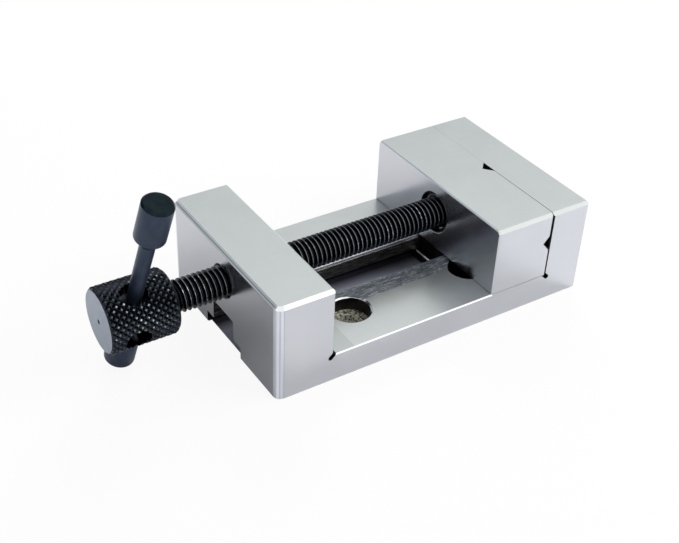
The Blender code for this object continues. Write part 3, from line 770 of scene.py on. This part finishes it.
def banded(look, colour, where, value, ends, bands):
    """Multiplies a colour with bands that run from one end to the other, where asked."""
    along = look.spread(value, 0, 1, *(end * MM for end in ends))
    return look.mix(where, colour, look.ramp(along, bands), blend_type="MULTIPLY")


def ground_steel():
    """Fine ground surfaces, with painted highlight and shade lines on the upright's front corners
    and chamfers.
    """
    look = Look("ground steel")
    across_x, across_y, across_z = facing(look)
    place = look.add("SeparateXYZ", {"Vector": look.place()}).outputs
    cloud = look.noise(look.place(), scale=110, detail=5, roughness=0.62)

    def between(a, b, start, end):
        return look.spread(look.math("MULTIPLY", a, b), 0, 1, start, end)

    colour = ground_tone(look, cloud, across_x, across_z)
    colour = duller_by_upright(look, colour, place, across_z)
    # Painted highlight and shade lines on the rounded front corners and along the front chamfer
    round_corner = look.math("ADD", place["X"], look.math("ABSOLUTE", place["Y"]))
    on_corner = between(across_x, across_y, 0.04, 0.05)
    ends = (CORNER_FROM, CORNER_TO)
    colour = banded(look, colour, on_corner, round_corner, ends, CORNER_HIGHLIGHT_SHADE_BANDS)
    # Side chamfers toned darker: painted shade
    colour = look.mix(between(across_y, across_z, 0.2, 0.3), colour, SIDE_CHAMFER_SHADE)
    on_chamfer = between(across_x, across_z, 0.2, 0.3)
    colour = banded(look, colour, on_chamfer, place["Z"], (TOP_FROM, TOP_TO), TOP_HIGHLIGHT_SHADE_BANDS)
    look.feed("Base Color", colour)
    look.feed("Metallic", look.blend(across_z, 1.0, 0.90))
    standing, level = look.spread(cloud, 0.20, 0.26), look.spread(cloud, 0.29, 0.37)
    look.feed("Roughness", look.blend(across_z, standing, level))
    look.bump(look.noise(look.place((120, 5000, 5000)), detail=3), 0.000001, 0.4)
    return look.material


def edge_highlight_steel():
    """Small chamfers in painted highlight, brighter than the flats beside them."""
    look = Look("broken edges", Metallic=1.0, Roughness=0.2)
    cloud = look.noise(look.place(), scale=900, detail=3)
    tones = [(0.3, (0.82, 0.83, 0.85)), (0.7, (0.93, 0.94, 0.95))]
    look.feed("Base Color", look.ramp(cloud, tones))
    return look.material


def milled_steel():
    """Rough milled surfaces: coarse streaks and torn flecks along the cut."""
    look = Look("milled steel", Metallic=1.0)
    streaks = look.noise(look.place((260, 2400, 2400)), detail=5, roughness=0.7)
    flecks = look.noise(look.place((900, 3800, 3800)), detail=4, roughness=0.7)
    tone = look.sum_of_products((streaks, 0.5), (flecks, 0.5))
    tones = [(0.0, (0.11, 0.13, 0.15)), (0.49, (0.34, 0.39, 0.44)), (0.60, (0.95, 0.98, 1.0))]
    look.feed("Base Color", look.ramp(tone, tones))
    look.feed("Roughness", look.spread(streaks, 0.30, 0.48))
    look.bump(tone, 0.00008, 0.8)
    return look.material


def torn_steel():
    """The counterbores' floors: rings of torn, sparkling metal."""
    look = Look("torn steel", Metallic=0.4)
    flecks = look.noise(look.place(), scale=1500, detail=4, roughness=0.7)
    tones = [(0.38, (0.06, 0.06, 0.05)), (0.48, (0.55, 0.54, 0.40)), (0.55, (1.0, 0.98, 0.84))]
    return look.surface(flecks, tones, (0.22, 0.36), (0.00012, 0.9))


def dark_bore_painted_shade():
    """Bores, grooves and undercuts, painted dark as shade."""
    look = Look("dark bore", Metallic=0.9)
    cloud = look.noise(look.place(), scale=500, detail=4)
    tones = [(0.35, (0.011, 0.010, 0.011)), (0.70, (0.032, 0.030, 0.030))]
    return look.surface(cloud, tones, (0.30, 0.42), (0.00003, 0.5))


def slot_wall_marks_and_shade():
    """The slot's walls: dark as painted shade, brownish, with short bright tears along the cutter's
    path.
    """
    look = Look("slot wall", Metallic=1.0)
    tears = look.noise(look.place((420, 2600, 2600)), detail=5, roughness=0.75)
    tones = [
        (0.40, (0.060, 0.058, 0.052)),
        (0.58, (0.15, 0.145, 0.13)),
        (0.70, (0.45, 0.44, 0.40)),
    ]
    return look.surface(tears, tones, (0.35, 0.5), (0.0001, 0.8))


def axis_distance(look, place):
    """Distance from the screw's axis."""
    parts = look.add("SeparateXYZ", {"Vector": place})
    y = parts.outputs["Y"]
    z = look.math("SUBTRACT", parts.outputs["Z"], AXIS_Z * MM)
    return look.math("SQRT", look.sum_of_products((y, y), (z, z)))


# Black finishes: darker and lighter tone of each
BLACK = ((0.010, 0.011, 0.014), (0.024, 0.026, 0.032))
KNURL_BLACK = ((0.018, 0.022, 0.028), (0.040, 0.047, 0.058))
KNOB_BLACK = ((0.009, 0.016, 0.020), (0.016, 0.027, 0.033))
# Bright steel on the crests: part wear, part painted highlight
WEAR_AND_HIGHLIGHT_STEEL = (0.80, 0.85, 0.92, 1)


def black_oxide(name="black oxide", tones=BLACK, wear_and_highlight_radii=None, least=0.0):
    """Glossy black finish, rubbed to bright steel between two radii if they are given, as wear and
    painted highlight both.
    """
    look = Look(name, Metallic=1.0)
    place = look.place()
    cloud = look.noise(place, scale=700, detail=4)
    colour = look.ramp(cloud, [(0.3, tones[0]), (0.7, tones[1])])
    if wear_and_highlight_radii:
        crest = look.spread(axis_distance(look, place), 0, 1, *(radius * MM for radius in wear_and_highlight_radii))
        fine = look.spread(look.noise(place, scale=1400, detail=3), 0.0, 1.0, 0.45, 0.62)
        broad = look.spread(look.noise(place, scale=150, detail=2), 0.05, 1.0, 0.46, 0.62)
        patches = look.math("MAXIMUM", look.math("MULTIPLY", fine, broad), least)
        colour = look.mix(look.math("MULTIPLY", crest, patches), colour, WEAR_AND_HIGHLIGHT_STEEL)
    look.feed("Base Color", colour)
    look.feed("Roughness", look.spread(cloud, 0.15, 0.24))
    look.bump(cloud, 0.00002, 0.4)
    return look.material


TURNING_PITCH = 0.00016


def end_face_steel():
    """The head's faced end: fine turned rings, blue-grey."""
    look = Look("faced end", Metallic=1.0, Roughness=0.34)
    place = look.place()
    turns = look.math("MULTIPLY", axis_distance(look, place), 2 * math.pi / TURNING_PITCH)
    cloud = look.noise(place, scale=420, detail=3)
    tones = [(0.3, (0.33, 0.375, 0.46)), (0.7, (0.375, 0.42, 0.505))]
    look.feed("Base Color", look.ramp(cloud, tones))
    look.bump(look.math("SINE", turns), 0.000006, 0.5)
    return look.material


def blued_steel():
    look = Look("blued steel", Metallic=0.75)
    cloud = look.noise(look.place(), scale=480, detail=4)
    tones = [(0.3, (0.032, 0.046, 0.078)), (0.7, (0.046, 0.063, 0.102))]
    return look.surface(cloud, tones, (0.30, 0.40), (0.00002, 0.35))


def spring_steel():
    look = Look("spring steel", Metallic=1.0, Roughness=0.3)
    cloud = look.noise(look.place(), scale=900, detail=3)
    tones = [(0.3, (0.42, 0.43, 0.46)), (0.7, (0.6, 0.62, 0.66))]
    look.feed("Base Color", look.ramp(cloud, tones))
    return look.material


# Assembly

# Real finishes, with the edge one as painted highlight and the dark one as painted shade
FINISHES_AND_PAINTED_LIGHT = {
    "ground": ground_steel(),
    "milled": milled_steel(),
    "torn": torn_steel(),
    "dark": dark_bore_painted_shade(),
    "wall": slot_wall_marks_and_shade(),
    "edge": edge_highlight_steel(),
}
FLAT = 0.9
LEANING = 0.3


def give(obj, materials, choice=None):
    """Gives an object its materials and, with a choice, picks one of them for each face."""
    obj.data.materials.clear()
    for material in materials:
        obj.data.materials.append(material)
    if choice:
        for face in obj.data.polygons:
            face.material_index = int(choice(face))


def place_on(obj, body, slot, *nodes):
    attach(obj, body)
    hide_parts(*nodes)


def finish_by(rule):
    """Turns a rule that names a face's finish, painted light included, into one that gives its
    place in FINISHES_AND_PAINTED_LIGHT.
    """
    names = list(FINISHES_AND_PAINTED_LIGHT)
    return lambda face: names.index(rule(face))


class Spot:
    """Where a face lies, in millimetres, and how far it faces along X, Y and Z."""

    def __init__(self, face):
        self.x, self.y, self.z = (c / MM for c in face.center)
        self.along, self.across, self.up = (abs(c) for c in face.normal)
        self.side = abs(self.y)
        self.off_axis = math.hypot(self.y, self.z - AXIS_Z)

    def on_corner(self):
        return self.along > LEANING and self.across > LEANING

    def on_lip(self, margin):
        """Whether it breaks an upright edge of a gripping face."""
        in_height = GRIP_BOTTOM_Z < self.z < GRIP_TOP_Z
        return in_height and self.side > HALF_WIDTH - margin and self.on_corner()


def hole_finish_and_painted_light(spot):
    """Bolt holes: rims bright as painted highlight, walls dark as painted shade, and torn floors in
    the pair that the light reaches, with the other pair's floors in painted shade.
    """
    bolt = to_bolt(spot.x, spot.y).length
    if 0.1 < spot.up < FLAT:
        return "edge" if bolt < COUNTERBORE_RADIUS + 0.7 and spot.z > 6.9 else None
    if bolt > COUNTERBORE_RADIUS + 0.1 or not 1 < spot.z < 7:
        return None
    in_clear_hole = bolt < BOLT_HOLE_RADIUS + 0.55 and spot.z < COUNTERBORE_FLOOR_Z
    lit = spot.x < sum(BOLT_ROWS_X) / 2
    return "torn" if lit and (spot.up > FLAT or in_clear_hole) else "dark"


def upright_painted_light(spot):
    """Side chamfers and rear corners bright as painted highlight, and a dark strip of painted shade
    along the front chamfer.
    """
    if near(spot.x, UPRIGHT_REAR_X + 0.1, 0.15) and spot.on_corner() and spot.z > BED_HEIGHT + 0.1:
        return "edge"
    if not UPRIGHT_FRONT_X - 0.4 < spot.x < UPRIGHT_REAR_X + 0.2 or spot.z < 24:
        return None
    if spot.z > 24.5 and spot.across > LEANING and spot.up > LEANING:
        return "edge"
    in_front = spot.x < UPRIGHT_FRONT_X + 1.2 and spot.across < LEANING
    return "dark" if in_front and 0.75 < spot.up < 0.97 else None


def relief_finish_and_painted_shade(spot):
    """The slots that clear the feet of the upright and of the fixed jaw are dark inside, as painted
    shade.
    """
    feet = (0, UPRIGHT_REAR_X)
    away = min(math.hypot(spot.x - foot, spot.z - BED_HEIGHT) for foot in feet)
    if away > 2.4 or spot.across > 0.5:
        return None
    inside = spot.along > 0.1 and spot.up > 0.1 or spot.z < BED_HEIGHT - 0.3
    return "dark" if inside else "ground"


def slot_finish_and_painted_light(spot):
    """The T slot: edges bright as painted highlight, milled strips beside it, torn walls with
    painted shade, and a dark wider part in painted shade.
    """
    by_edge = -0.05 < spot.side - SLOT_HALF_WIDTH < SLOT_EDGE_CHAMFER + 0.35
    if by_edge and 0.2 < spot.up < 0.97 and -0.55 < spot.z - STRIP_FLOOR_Z < 0.05:
        return "edge"
    if spot.up > FLAT and 6 < spot.z < BED_HEIGHT - 0.05:
        return "milled"
    if spot.across > FLAT and spot.side < 5.5 and TEE_HEIGHT - 0.05 < spot.z < SLOT_HEIGHT + 0.1:
        return "wall"
    in_tee = spot.side < TEE_HALF_WIDTH + 0.1 and 0.2 < spot.z < TEE_HEIGHT + 0.2
    return "dark" if in_tee and UPRIGHT_FRONT_X - 0.4 < spot.x < 0 else None


def other_finish_and_painted_light(spot):
    """The screw's bore and the gripping face's lips are dark as painted shade, and the bed's edges
    bright as painted highlight.
    """
    if spot.off_axis < THREAD_RADIUS + 0.2 and spot.along < FLAT:
        return "dark"
    if abs(spot.x) < 0.6 and spot.on_lip(0.4):
        return "dark"
    if 0.2 < spot.up < 0.95 and spot.z < 8 and (spot.across > LEANING or spot.side < 12):
        return "edge"
    return "ground"


def body_finish_and_painted_light(face):
    """Which finish a face of the body has, painted highlight and shade included: the first rule
    that knows it decides.
    """
    spot = Spot(face)
    rules = (hole_finish_and_painted_light, upright_painted_light, relief_finish_and_painted_shade, slot_finish_and_painted_light, other_finish_and_painted_light)
    return next(finish for finish in (rule(spot) for rule in rules) if finish)


def jaw_finish_and_painted_shade(face):
    """The grooves in the gripping face, the screw's pocket, the lips and the tongue are dark as
    painted shade.
    """
    spot = Spot(face)
    at_side = spot.across > 0.5 and spot.side > HALF_WIDTH - 0.3
    groove = -2.1 < spot.x < -0.25 and spot.along > LEANING and not at_side
    pocket = JAW_REAR_X + 0.1 < spot.x < -4 and spot.off_axis < 5.9
    lip = spot.x > -0.6 and spot.on_lip(0.3)
    return "dark" if groove or pocket or lip or spot.z < BED_HEIGHT - 0.1 else "ground"


def dress_body():
    """The block, with each of its flats, walls and edges in its own finish, painted highlight and
    shade included.
    """
    prepare = (open_counterbores, split_at_jaw)
    body = refined("body", "vise_body_block", 0.07, prepare, BODY_CHAMFERS, grip_top_edge)
    give(body, FINISHES_AND_PAINTED_LIGHT.values(), finish_by(body_finish_and_painted_light))
    place_on(body, "vise_body", "ground_steel", "body")


def dress_jaw():
    """The sliding jaw. Its top edge nearly closes the rest gap, most of all on the far half."""
    jaw = refined(
        "sliding_jaw", "sliding_jaw_block", 0.07, (split_at_jaw,), JAW_CHAMFERS, grip_top_edge
    )
    for vert in jaw.data.vertices:
        x, y, z = (c / MM for c in vert.co)
        if grip_top_edge(x, y, z):
            vert.co.x = (TOP_EDGE_FAR_X if y > TOP_EDGE_STEP_Y else TOP_EDGE_NEAR_X) * MM
    give(jaw, FINISHES_AND_PAINTED_LIGHT.values(), finish_by(jaw_finish_and_painted_shade))
    place_on(jaw, "jaw", "ground_steel", "sliding_jaw")


def dress_small_parts(black):
    """What the jaw and the screw carry inside: edges bright as painted highlight, machined flats
    dark as painted shade.
    """
    edge_and_dark = (FINISHES_AND_PAINTED_LIGHT["edge"], FINISHES_AND_PAINTED_LIGHT["dark"])

    def on_flat(face):
        return max(abs(c) for c in face.normal) > 0.95

    def on_end_or_rim(face):
        return abs(face.normal.x) > 0.95 or abs(face.normal.x) < 0.1

    plate = refined("clamp_plate", "slot_clamp_plate", 0.12)
    give(plate, edge_and_dark, on_flat)
    place_on(plate, "jaw", "plain_steel", "clamp_plate")
    ring = refined("retaining_ring", "snap_ring", 0.08)
    give(ring, edge_and_dark, on_end_or_rim)
    place_on(ring, "jaw", "spring_steel", "retaining_ring")
    collar = refined("thrust_collar", "slotted_collar", 0.08)
    give(collar, [spring_steel()])
    place_on(collar, "screw", "plain_steel", "thrust_collar")
    for number in (1, 2):
        clamp = refined(f"clamp_screw_{number}", f"countersunk_screw_{number}", 0.05)
        give(clamp, [black])
        place_on(clamp, "jaw", "black_oxide_steel", f"clamp_screw_{number}")


def dress_screw(black):
    """Black all over, with the crests of the thread and of the knurl bright, as wear and painted
    highlight both.
    """
    on_thread = (THREAD_RADIUS - 0.03, THREAD_RADIUS)
    on_knurl = (HEAD_RADIUS - 0.10, HEAD_RADIUS - 0.01)
    rolled = black_oxide("rolled thread", wear_and_highlight_radii=on_thread, least=0.26)
    knurled = black_oxide("knurled head", KNURL_BLACK, wear_and_highlight_radii=on_knurl, least=0.06)

    def on_end(face):
        return near(face.center.x / MM, HEAD_END_X, 0.02) and face.normal.x < -FLAT

    head, neck, shank, nose = lead_screw()
    give(head, [knurled, end_face_steel()], on_end)
    for piece, material in ((neck, black), (shank, rolled), (nose, black)):
        give(piece, [material])
    for piece in (head, neck, shank, nose):
        place_on(piece, "screw", "black_oxide_steel", "lead_screw")


def dress_bar():
    """Blued all over, with the upper knob's top nearly black."""
    blued = blued_steel()
    to_bar = bar_frame().inverted()

    def on_top(face):
        along, y, z = to_bar @ (face.center / MM)
        return along > 33.0 and math.hypot(y, z) < 3.3

    rod = bar_rod()
    give(rod, [blued, black_oxide("knob top", KNOB_BLACK)], on_top)
    place_on(rod, "bar", "blued_steel", "tommy_bar")
    end = bar_end()
    give(end, [blued])
    place_on(end, "bar", "blued_steel", "tommy_bar_end")


def dress():
    black = black_oxide()
    dress_body()
    dress_jaw()
    dress_small_parts(black)
    dress_screw(black)
    dress_bar()


# Studio

STUDIO_MIDDLE = (-0.045, 0, 0.01)
LAMP_DISTANCE = 0.60
FRONT_RIGHT = (0.62, -0.50, 0.60)
BACK_RIGHT = (0.50, 0.68, 0.52)

# The tent: white above, dim low down at the back, and a darker patch high at the far left
SKY_TOWARD = (0.0, -0.447, 0.894)
SKY_RANGE = (0.03, 0.23)
PATCH_TOWARD = (-0.50, 0.55, 0.67)
PATCH_RANGE = (0.93, 0.98)
SKY_PATCH = (0.20, 0.21, 0.25, 1)
SKY_DIM = (0.36, 0.38, 0.40, 1)
SKY_HELD_BACK = 0.65
WHITE, NO_LIGHT = (1, 1, 1, 1), (0, 0, 0, 1)

FLOOR_HALF = 3.0
FLOOR_DROP = 0.00002
FLOOR_COLOUR = (0.90, 0.90, 0.90, 1)
FLOOR_LIFT = 0.92
FLOOR_MIRRORED_LIFT = 0.05

# The floor under the body, as it shows through the slot: painted light on the near side, painted
# shade beyond
UNDER_MIDDLE, UNDER_HALF = (-0.0320, 0.0), (0.0425, 0.0245)
UNDER_LIT, UNDER_DARK = (0.58, 0.60, 0.74, 1), (0.07, 0.07, 0.09, 1)
UNDER_RANGE = (0.0030, 0.0065)


def area_lamp(name, toward, side, power, in_metal=False):
    """A square lamp that looks at the studio's middle, mirrored in metal only if asked."""
    lamp = bpy.data.lights.new(name, "AREA")
    lamp.shape = "SQUARE"
    lamp.size = side
    lamp.energy = power
    obj = bpy.data.objects.new(name, lamp)
    bpy.context.scene.collection.objects.link(obj)
    direction = Vector(toward).normalized()
    obj.location = Vector(STUDIO_MIDDLE) + direction * LAMP_DISTANCE
    obj.rotation_euler = direction.to_track_quat("Z", "Y").to_euler()
    obj.visible_glossy = in_metal


def studio_world():
    """The tent's light. Matt surfaces get only part of it, and the camera sees plain white."""
    world = bpy.data.worlds.new("studio")
    bpy.context.scene.world = world
    world.use_nodes = True
    sky = Shading(world.node_tree)
    coordinates = sky.add("TexCoord").outputs["Generated"]
    height = sky.spread(sky.along(coordinates, SKY_TOWARD), 0.0, 1.0, *SKY_RANGE)
    patch = sky.spread(sky.along(coordinates, PATCH_TOWARD), 0.0, 1.0, *PATCH_RANGE)
    tent = sky.mix(patch, sky.mix(height, SKY_DIM, WHITE), SKY_PATCH)
    path = sky.add("LightPath").outputs
    bounced = sky.math("MINIMUM", path["Diffuse Depth"], 1.0)
    around = sky.mix(sky.math("MULTIPLY", bounced, SKY_HELD_BACK), tent, NO_LIGHT)
    seen = sky.math("MAXIMUM", path["Is Camera Ray"], path["Is Transmission Ray"])
    shown = sky.mix(seen, around, WHITE)
    sky.join(sky.tree.nodes["Background"].inputs["Color"], shown)


def floor_look():
    """Pale matt floor, with painted light and shade in its colour under the body. The camera sees
    it lifted towards white, apart from under the body.
    """
    look = Look("floor", Roughness=0.9, Specular_IOR_Level=0.0)
    position = look.add("NewGeometry").outputs["Position"]
    place = look.add("SeparateXYZ", {"Vector": position}).outputs
    beyond = []
    for axis, middle, half in zip("XY", UNDER_MIDDLE, UNDER_HALF):
        away = look.math("ABSOLUTE", look.math("SUBTRACT", place[axis], middle))
        beyond.append(look.math("SUBTRACT", away, half))
    outside = look.math("GREATER_THAN", look.math("MAXIMUM", *beyond), 0.0)
    depth = look.spread(place["Y"], 0.0, 1.0, *UNDER_RANGE)
    # Painted light and shade in the floor's colour under the body
    under = look.mix(depth, UNDER_LIT, UNDER_DARK)
    look.feed("Base Color", look.mix(outside, under, FLOOR_COLOUR))
    path = look.add("LightPath").outputs
    seen = look.math("MULTIPLY", path["Is Camera Ray"], FLOOR_LIFT)
    mirrored = look.math("MULTIPLY", path["Is Glossy Ray"], FLOOR_MIRRORED_LIFT)
    lift = look.math("MULTIPLY", look.math("MAXIMUM", seen, mirrored), outside)
    glow = look.add("Emission", {"Color": WHITE, "Strength": 1.0}).outputs["Emission"]
    plain = look.shader.outputs["BSDF"]
    shown = look.add("MixShader", {"Fac": lift, 1: plain, 2: glow}).outputs["Shader"]
    look.join(look.tree.nodes["Material Output"].inputs["Surface"], shown)
    return look.material


def studio_floor():
    corners = [(-1, -1, 0), (1, -1, 0), (1, 1, 0), (-1, 1, 0)]
    floor = new_object("floor", corners, [(0, 1, 2, 3)], scale=FLOOR_HALF)
    floor.location.z = -FLOOR_DROP
    give(floor, [floor_look()])


def studio():
    bpy.context.scene.view_settings.view_transform = "Standard"
    studio_world()
    studio_floor()
    area_lamp("key", FRONT_RIGHT, 0.46, 0.25, in_metal=True)
    area_lamp("fill", FRONT_RIGHT, 0.46, 3.3)
    area_lamp("back", BACK_RIGHT, 0.36, 2.4)


# Camera, fitted to the photo's straight edges
PHOTO_WIDTH_PIXELS = 679.0
FOCAL_PIXELS = 1151.129
SENSOR_WIDTH = 36.0
CAMERA_PLACE = (-170.03, -188.57, 171.28)
CAMERA_AZIMUTH = math.radians(-33.789)
CAMERA_ELEVATION = math.radians(35.659)
CAMERA_ROLL = math.radians(2.478)


def camera():
    data = bpy.data.cameras.new("camera")
    data.sensor_width = SENSOR_WIDTH
    data.lens = FOCAL_PIXELS * SENSOR_WIDTH / PHOTO_WIDTH_PIXELS
    data.clip_start, data.clip_end = 0.01, 20.0
    obj = bpy.data.objects.new("camera", data)
    bpy.context.scene.collection.objects.link(obj)
    level = math.cos(CAMERA_ELEVATION)
    x, y = math.sin(CAMERA_AZIMUTH) * level, -math.cos(CAMERA_AZIMUTH) * level
    back = Vector((x, y, math.sin(CAMERA_ELEVATION)))
    right = Vector((0, 0, 1)).cross(back).normalized()
    up = back.cross(right)
    cos, sin = math.cos(CAMERA_ROLL), math.sin(CAMERA_ROLL)
    basis = Matrix((cos * right + sin * up, cos * up - sin * right, back)).transposed()
    obj.matrix_world = Matrix.Translation(Vector(CAMERA_PLACE) * MM) @ basis.to_4x4()
    bpy.context.scene.camera = obj


camera()
dress()
studio()
